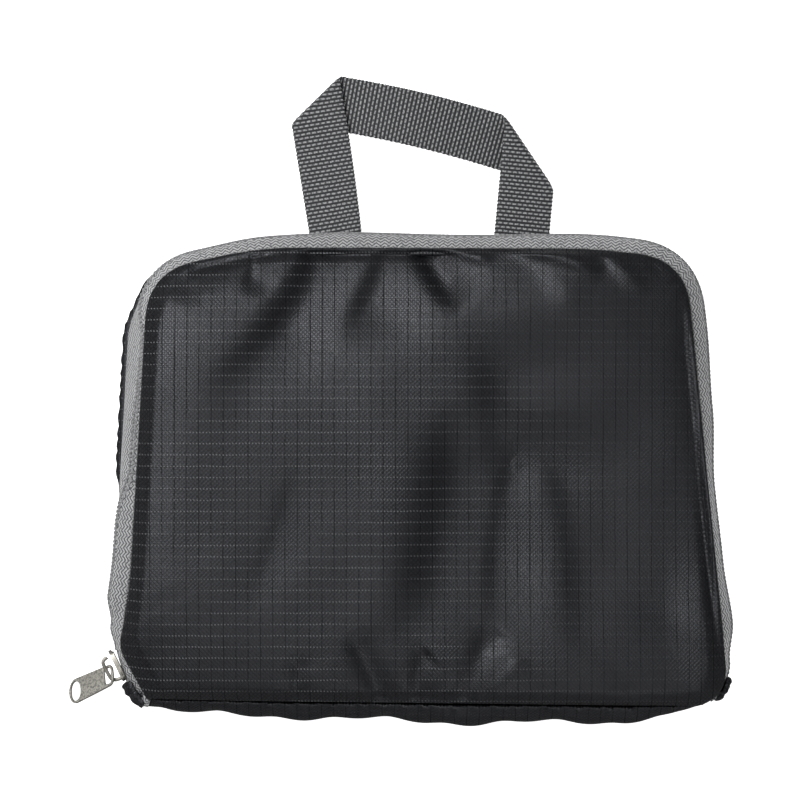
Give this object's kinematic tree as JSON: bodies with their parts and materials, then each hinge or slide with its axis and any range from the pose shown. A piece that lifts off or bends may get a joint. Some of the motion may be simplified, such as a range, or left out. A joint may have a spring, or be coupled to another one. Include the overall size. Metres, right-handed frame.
{
  "type": "packable backpack",
  "caption": "Folding backpack packed flat into its own zipped cloth pouch, with a swinging metal zip pull and a webbing carry handle folded over at both corners.",
  "frame": {"origin": "middle of the flat patch of the back panel that the pouch rests on", "axes": "+Z out of the front panel, +Y towards the carry handle, +X to the right as the front panel is seen"},
  "size_m": [0.2407, 0.2353, 0.0422],
  "materials": {
    "ripstop": "satin ripstop nylon",
    "packed_cloth": "satin ripstop nylon",
    "zip_tape": "matt woven tape",
    "zip_coil": "matt coil and stitching",
    "webbing": "ribbed webbing",
    "nickel": "polished nickel plate"
  },
  "bodies": {
    "pouch": {"front_panel": "ripstop", "back_panel": "ripstop", "base_band": "ripstop", "zip_end_tab_left": "ripstop", "zip_end_tab_right": "ripstop", "packed_bag": "packed_cloth", "zip_tape_front": "zip_tape", "zip_tape_back": "zip_tape", "zip_chain": "zip_coil", "handle": "webbing", "zip_slider": "nickel"},
    "pull": {"zip_pull": "nickel"}
  },
  "joints": [
    {"name": "pull_swing", "type": "hinge", "parent": "pouch", "child": "pull", "pos_m": [-0.11194, -0.07193, 0.01825], "axis": [-0.5164, 0.8548, 0.0508], "range_deg": [0, 50]}
  ]
}
